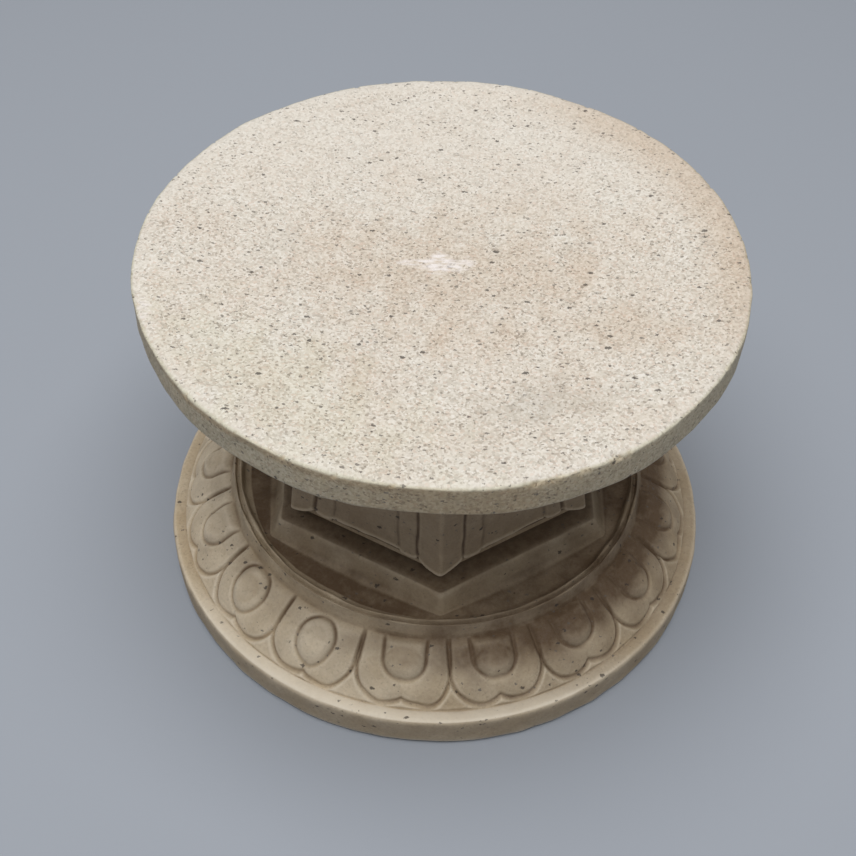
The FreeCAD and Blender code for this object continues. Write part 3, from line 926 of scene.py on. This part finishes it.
def tooled(tree, place):
    """Height of the fine pits, and the same as a noise between -0.6 and 0.6."""
    pits = add(
        tree,
        "ShaderNodeTexNoise",
        {"Vector": place, "Scale": 1 / (PITTING * MM), "Detail": 5.0, "Roughness": 0.65},
    ).outputs["Fac"]
    spread = {"From Min": 0.3, "From Max": 0.7, "To Min": -0.6, "To Max": 0.6}
    return pits, add(tree, "ShaderNodeMapRange", {"Value": pits, **spread}).outputs["Result"]


def mark(tree, name, noise, gain, cut):
    """A named value from the mesh, broken up by noise. Less than cut doesn't show."""
    value = add(tree, "ShaderNodeAttribute", attribute_name=name).outputs["Fac"]
    raised = add(tree, "ShaderNodeMath", {0: noise, 1: value, 2: value}, operation="MULTIPLY_ADD")
    kept = {"Value": raised.outputs[0], "From Min": cut, "From Max": cut + 1.0, "To Max": gain}
    return add(tree, "ShaderNodeMapRange", kept).outputs["Result"]


# %% Lime wiped over stone
SMEAR, SMEAR_DRAWN = 1.1, 0.35  # mm; lime is wiped on, so its noise is drawn out along X


def wiped_lime(tree, place):
    """Where lime lies: the mesh's own value, pulled into streaks."""
    drawn_out = add(tree, "ShaderNodeMapping", {"Vector": place, "Scale": (SMEAR_DRAWN, 1.0, 1.0)})
    streaks = add(
        tree,
        "ShaderNodeTexNoise",
        {"Vector": drawn_out.outputs[0], "Scale": 1 / (SMEAR * MM), "Detail": 4.0},
    )
    spread = {"From Min": 0.35, "From Max": 0.65, "To Min": -0.7, "To Max": 0.7}
    smeared = add(tree, "ShaderNodeMapRange", {"Value": streaks.outputs["Fac"], **spread})
    return mark(tree, "lime", smeared.outputs["Result"], 0.9, 0.3)


# %% [markdown]
# ### The granite itself
# The colours are laid on in the order in which they came to the stone: the ground and its grains,
# then wear with painted light, stains, and grime with painted shade. The dark flakes come after the
# grime, because they show through it.
# Lime lies over everything. Light passes a little way into feldspar, but at this size a plain
# rough surface looks the same. The index of refraction is feldspar's, 1.54. A broken grain is
# dull, and a quartz grain a little less so, so the roughness follows the grains too.


# %% Granite
MOTTLE = 16.0  # mm, patches where the stone is a shade warmer or paler


def laid_over(tree, shade, layers):
    """The colour that is left when every layer, an amount, a tint and a way, is laid on."""
    for amount, tint, how in layers:
        sockets = {0: amount, 6: shade, 7: tint}
        shade = add(tree, "ShaderNodeMix", sockets, data_type="RGBA", blend_type=how).outputs[2]
    return shade


def granite(name, cream, tan, wear_and_light_tint, grime_and_shade_tint, grain_gain, mica_share, dust_share, grime_and_shade_gain):
    """Weathered granite. The third tint is its colour where it is worn and where light is painted
    on, and the gains are how plainly its grains and its grime with painted shade show. The shares
    are the parts of the cells that hold a dark grain."""
    material, tree, output = new_material(name)
    place = add(tree, "ShaderNodeTexCoord").outputs["Object"]
    grain, number = pale_grains(tree, place)
    mica, dust = dark_grains(tree, place, mica_share, dust_share)
    pits, uneven = tooled(tree, place)
    even = add(tree, "ShaderNodeMath", {0: uneven, 1: 0.2}, operation="MULTIPLY").outputs[0]
    patches = add(
        tree, "ShaderNodeTexNoise", {"Vector": place, "Scale": 1 / (MOTTLE * MM), "Detail": 4.0}
    ).outputs["Fac"]
    warm = add(
        tree, "ShaderNodeMapRange", {"Value": patches, "From Min": 0.35, "From Max": 0.68}
    ).outputs["Result"]
    thin_dust, thin_mica = (  # the thinnest flakes let the stone show through
        add(tree, "ShaderNodeMath", {0: dark, 1: 0.8}, operation="MULTIPLY").outputs[0]
        for dark in (dust, mica)
    )
    layers = (
        (warm, colour(tan), "MIX"),
        (grain_gain, grain, "MULTIPLY"),
        # Wear, together with painted light on the base's front border, its left petals and the
        # waist's ridges.
        (mark(tree, "wear_and_light", even, 0.8, 0.1), colour(wear_and_light_tint), "MIX"),
        (mark(tree, "brown", even, 1.0, 0.0), colour("#E6D6C6"), "MULTIPLY"),
        (mark(tree, "green", even, 1.0, 0.0), colour("#F3F6E6"), "MULTIPLY"),
        (mark(tree, "smoke", uneven, 0.32, 0.05), colour("#867C6C"), "MIX"),
        # Grime together with painted shade in the hollows and under the upper stone.
        (mark(tree, "grime_and_shade", even, grime_and_shade_gain, 0.0), colour(grime_and_shade_tint), "MIX"),
        (thin_dust, colour("#655E56"), "MIX"),
        (thin_mica, colour("#38302A"), "MIX"),
        (wiped_lime(tree, place), colour("#DAD3CF"), "MIX"),
    )
    low = add(tree, "ShaderNodeMath", {0: mica, 1: -0.6, 2: number}, operation="MULTIPLY_ADD")
    relief = add(
        tree, "ShaderNodeMath", {0: pits, 1: 2.2, 2: low.outputs[0]}, operation="MULTIPLY_ADD"
    )
    bump = add(
        tree,
        "ShaderNodeBump",
        {"Height": relief.outputs[0], "Strength": 0.5, "Distance": PIT_DEPTH * MM},
    )
    dull = add(tree, "ShaderNodeMapRange", {"Value": number, "To Min": 0.92, "To Max": 0.62})
    shader = add(
        tree,
        "ShaderNodeBsdfPrincipled",
        {
            "Base Color": laid_over(tree, colour(cream), layers),
            "Roughness": dull.outputs["Result"],
            "IOR": 1.54,
            "Normal": bump.outputs[0],
        },
    )
    tree.links.new(shader.outputs[0], output.inputs["Surface"])
    return material


# %% [markdown]
# ### Three granites
# The upper stone is cream granite, worn by use, so its open grain and dark flecks are plain to
# see. The base is a browner granite, handled smooth, and skin oil has closed its grain. The waist
# is the same brown stone, but sheltered, so it was never rubbed and has kept its grime. Its tints
# are darker again, as painted shade under the upper stone.

# %% Three granites
upper_granite = granite(
    "worn_cream_granite",
    cream="#D3CEC5",
    tan="#D0C8BD",
    wear_and_light_tint="#CCC6BC",
    grime_and_shade_tint="#85735C",
    grain_gain=0.9,
    mica_share=0.27,
    dust_share=0.46,
    grime_and_shade_gain=0.6,
)
base_granite = granite(
    "handled_tan_granite",
    cream="#CDBDA3",
    tan="#C0AD8F",
    wear_and_light_tint="#E2D8C6",
    grime_and_shade_tint="#5B452E",
    grain_gain=0.4,
    mica_share=0.4,
    dust_share=0.12,
    grime_and_shade_gain=0.95,
)
waist_granite = granite(
    "sheltered_and_shaded_brown_granite",
    cream="#BAA68A",
    tan="#AD977A",
    wear_and_light_tint="#C9B89E",
    grime_and_shade_tint="#533F2B",
    grain_gain=0.4,
    mica_share=0.45,
    dust_share=0.12,
    grime_and_shade_gain=0.95,
)
for piece, stone in (
    (upper, upper_granite),
    (plug, upper_granite),
    (base, base_granite),
    (waist, waist_granite),
):
    piece.data.materials.clear()
    piece.data.materials.append(stone)
    print(f"{piece.name} wears {stone.name}, {len(stone.node_tree.nodes)} nodes")

# %% [markdown]
# ### Lime mortar
# The mortar beds come straight from the CAD model, because their shape is right as it is. Mortar
# is slaked lime and fine sand, struck back with a pointing iron. It is pale, dull and crumbly:
# grains of sand stand out of it, and it dried in clumps of a darker and a paler tone.

# %% Lime mortar
SAND, CLUMPS = 0.4, 3.3  # mm, one grain and one clump
mortar, tree, output = new_material("lime_and_sand_mortar")
place = add(tree, "ShaderNodeTexCoord").outputs["Object"]
sand = add(tree, "ShaderNodeTexVoronoi", {"Vector": place, "Scale": 1 / (SAND * MM)})
clumps = add(
    tree, "ShaderNodeTexNoise", {"Vector": place, "Scale": 1 / (CLUMPS * MM), "Detail": 6.0}
)
tint = add(
    tree,
    "ShaderNodeValToRGB",
    {"Fac": clumps.outputs["Fac"]},
    stops=[(0.3, colour("#8E8270")), (0.7, colour("#C4B9A6"))],
)
bump = add(
    tree,
    "ShaderNodeBump",
    {"Height": sand.outputs["Distance"], "Strength": 0.7, "Distance": SAND / 2 * MM},
)
shader = add(
    tree,
    "ShaderNodeBsdfPrincipled",
    {"Base Color": tint.outputs["Color"], "Roughness": 0.95, "IOR": 1.5, "Normal": bump.outputs[0]},
)
tree.links.new(shader.outputs[0], output.inputs["Surface"])
print(mortar.name, "has sand of", SAND, "mm")

# %% [markdown]
# ### Steel dowels
# The dowels are drawn round bar. The die leaves long fine lines along the bar and a thin dull
# skin. Real lines are finer than these, which are drawn coarse enough to show. The metal keeps
# the shader's own index of refraction.

# %% Drawn steel
DIE_LINE, LINE_DRAWN = 0.25, 0.03  # mm across, and how much slower they change along the bar
steel, tree, output = new_material("drawn_steel_bar")
place = add(tree, "ShaderNodeTexCoord").outputs["Object"]
drawn = add(tree, "ShaderNodeMapping", {"Vector": place, "Scale": (1.0, 1.0, LINE_DRAWN)})
lines = add(
    tree,
    "ShaderNodeTexNoise",
    {"Vector": drawn.outputs[0], "Scale": 1 / (DIE_LINE * MM), "Detail": 3.0},
).outputs["Fac"]
dull = add(tree, "ShaderNodeMapRange", {"Value": lines, "To Min": 0.3, "To Max": 0.55})
skin = add(
    tree,
    "ShaderNodeValToRGB",
    {"Fac": lines},
    stops=[(0.3, colour("#8E8C88")), (0.7, colour("#B4B2AD"))],
)
bump = add(tree, "ShaderNodeBump", {"Height": lines, "Strength": 0.3, "Distance": 0.02 * MM})
shader = add(
    tree,
    "ShaderNodeBsdfPrincipled",
    {
        "Base Color": skin.outputs["Color"],
        "Metallic": 1.0,
        "Roughness": dull.outputs["Result"],
        "Normal": bump.outputs[0],
    },
)
tree.links.new(shader.outputs[0], output.inputs["Surface"])

# %% Dressing the CAD nodes
for name, finish in (
    ("lower_bed", mortar),
    ("upper_bed", mortar),
    ("lower_dowel", steel),
    ("upper_dowel", steel),
):
    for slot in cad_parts[name].material_slots:
        slot.material = finish
    print(name, "now wears", finish.name)

# %% [markdown]
# ## Floor, light and camera
# The floor is a plain pale sheet, matt so that it shows only the stone's soft shadow. A wide soft
# lamp hangs overhead, as a ceiling of lamps would light a shelf, and a weaker one fills from the
# front. The upper stone keeps that light off the waist, which is what makes the carving read. The
# camera looks down on the dish from the front.

# %% Floor
floor_matt, tree, output = new_material("pale_floor")
shader = add(tree, "ShaderNodeBsdfPrincipled", {"Base Color": colour("#92979F"), "Roughness": 0.9})
tree.links.new(shader.outputs[0], output.inputs["Surface"])
REACH = 8.0  # metres, far past any view
floor_corners = [(-REACH, -REACH, 0), (REACH, -REACH, 0), (REACH, REACH, 0), (-REACH, REACH, 0)]
floor_mesh = bpy.data.meshes.new("floor")
floor_mesh.from_pydata(floor_corners, [], [(0, 1, 2, 3)])
floor_mesh.materials.append(floor_matt)
floor = bpy.data.objects.new("floor", floor_mesh)
bpy.context.scene.collection.objects.link(floor)


# %% Lamps
def lamp(name, place, width, watts, tint):
    """A square soft lamp of that width in metres, hung at place and turned to the stone."""
    data = bpy.data.lights.new(name, "AREA")
    data.shape, data.size, data.energy = "SQUARE", width, watts
    data.color = colour(tint)[:3]
    made = bpy.data.objects.new(name, data)
    bpy.context.scene.collection.objects.link(made)
    toward = (np.array(MIDDLE_OF_STONE) - np.array(place)).tolist()
    made.location = place
    made.rotation_euler = Vector(toward).to_track_quat("-Z", "Y").to_euler()
    print(name, "hangs", round(Vector(toward).length, 2), "m away")


MIDDLE_OF_STONE = (0, 0, 0.05)
lamp("ceiling", (-0.05, -0.12, 1.25), 1.1, 19.0, "#FFFFFF")
lamp("front_fill", (-0.5, -1.2, 0.7), 0.8, 0.8, "#F4F7FF")
world = bpy.data.worlds.new("room")
world.use_nodes = True
sky = world.node_tree.nodes["Background"]
sky.inputs["Color"].default_value = colour("#EDEEF0")
sky.inputs["Strength"].default_value = 0.25
bpy.context.scene.world = world

# %% Camera
PITCH, TURN, ROLL = 47.81, 0.617, 1.396  # degrees down, to the left, and tilted
CAMERA_PLACE = (0.0, -0.2607, 0.3285)  # metres
LENS, SENSOR = 54.94, 36.0  # mm
camera_data = bpy.data.cameras.new("camera")
camera_data.sensor_width = SENSOR
camera_data.lens = LENS
camera_data.clip_start = 0.01
camera = bpy.data.objects.new("camera", camera_data)
bpy.context.scene.collection.objects.link(camera)
camera.matrix_world = (
    Matrix.Translation(CAMERA_PLACE)
    @ Matrix.Rotation(math.radians(TURN), 4, "Z")
    @ Matrix.Rotation(math.radians(90 - PITCH), 4, "X")
    @ Matrix.Rotation(math.radians(ROLL), 4, "Z")
)
bpy.context.scene.camera = camera
bpy.context.scene.view_settings.view_transform = "Standard"
